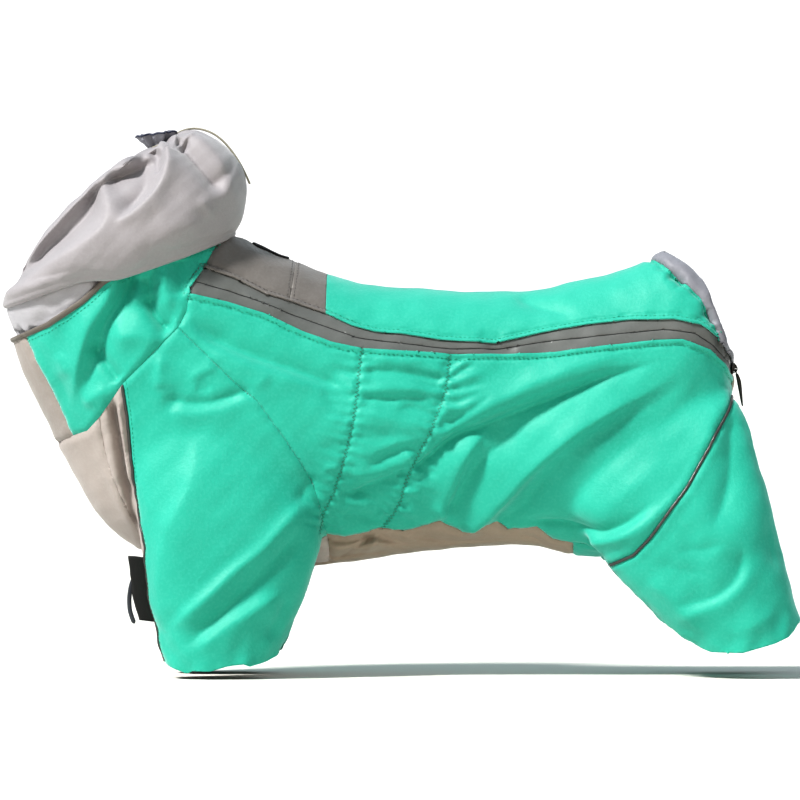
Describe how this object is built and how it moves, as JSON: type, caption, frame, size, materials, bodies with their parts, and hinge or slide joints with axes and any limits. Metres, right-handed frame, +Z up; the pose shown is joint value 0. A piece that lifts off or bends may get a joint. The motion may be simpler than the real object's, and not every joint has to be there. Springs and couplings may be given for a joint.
{
  "type": "dog winter overall with hood",
  "caption": "Hooded softshell overall for a small dog, worn form standing hollow, with a side zip to the rump, gathered hood and open legs.",
  "frame": {"origin": "in the cloth of the back panel at its middle, where the wearer's back carries the garment", "axes": "+X towards the tail, -Y the garment's left side with the zip, +Z up"},
  "size_m": [0.5719, 0.153, 0.3873],
  "materials": {
    "mint_softshell": "mint green softshell with a fine grain and a soft satin sheen",
    "grey_softshell": "warm grey softshell with a fine grain and a soft satin sheen",
    "zip_tape": "grey coated water-resistant zip tape",
    "binding_tape": "lavender-grey stretch binding",
    "reflective_piping": "dark grey reflective piping",
    "drawcord": "thin grey elastic cord",
    "black_slider": "black lacquered slider and pull",
    "black_label": "black woven label and slot welt, bare"
  },
  "bodies": {
    "garment": {"collar_left": "mint_softshell", "collar_right": "mint_softshell", "throat_panel": "grey_softshell", "chest_panel": "grey_softshell", "yoke_front": "grey_softshell", "yoke_rear": "grey_softshell", "back_panel": "mint_softshell", "belly_panel": "grey_softshell", "tail_binding": "binding_tape", "shoulder_left": "mint_softshell", "shoulder_right": "mint_softshell", "side_left": "mint_softshell", "side_right": "mint_softshell", "chest_side_left": "grey_softshell", "chest_side_right": "grey_softshell", "hind_leg_outer_left": "mint_softshell", "hind_leg_outer_right": "mint_softshell", "hind_leg_inner_left": "mint_softshell", "hind_leg_inner_right": "mint_softshell", "zip_tape_upper": "zip_tape", "zip_tape_lower": "zip_tape", "hood": "grey_softshell", "hood_tuft": "binding_tape", "hood_facing": "grey_softshell", "hood_cinch": "drawcord", "drawcord": "drawcord", "collar_binding": "binding_tape", "leash_welt": "black_label", "piping_front_left": "reflective_piping", "piping_front_right": "reflective_piping", "piping_hind_left": "reflective_piping", "piping_hind_right": "reflective_piping", "zip_slider": "black_slider", "side_label": "black_label"},
    "pull_tab": {"zip_pull": "black_slider"}
  },
  "joints": [
    {"name": "pull_tab_swing", "type": "hinge", "parent": "garment", "child": "pull_tab", "pos_m": [0.21284, 0, -0.057], "axis": [0, -1, 0], "range_deg": [0, 150]}
  ]
}
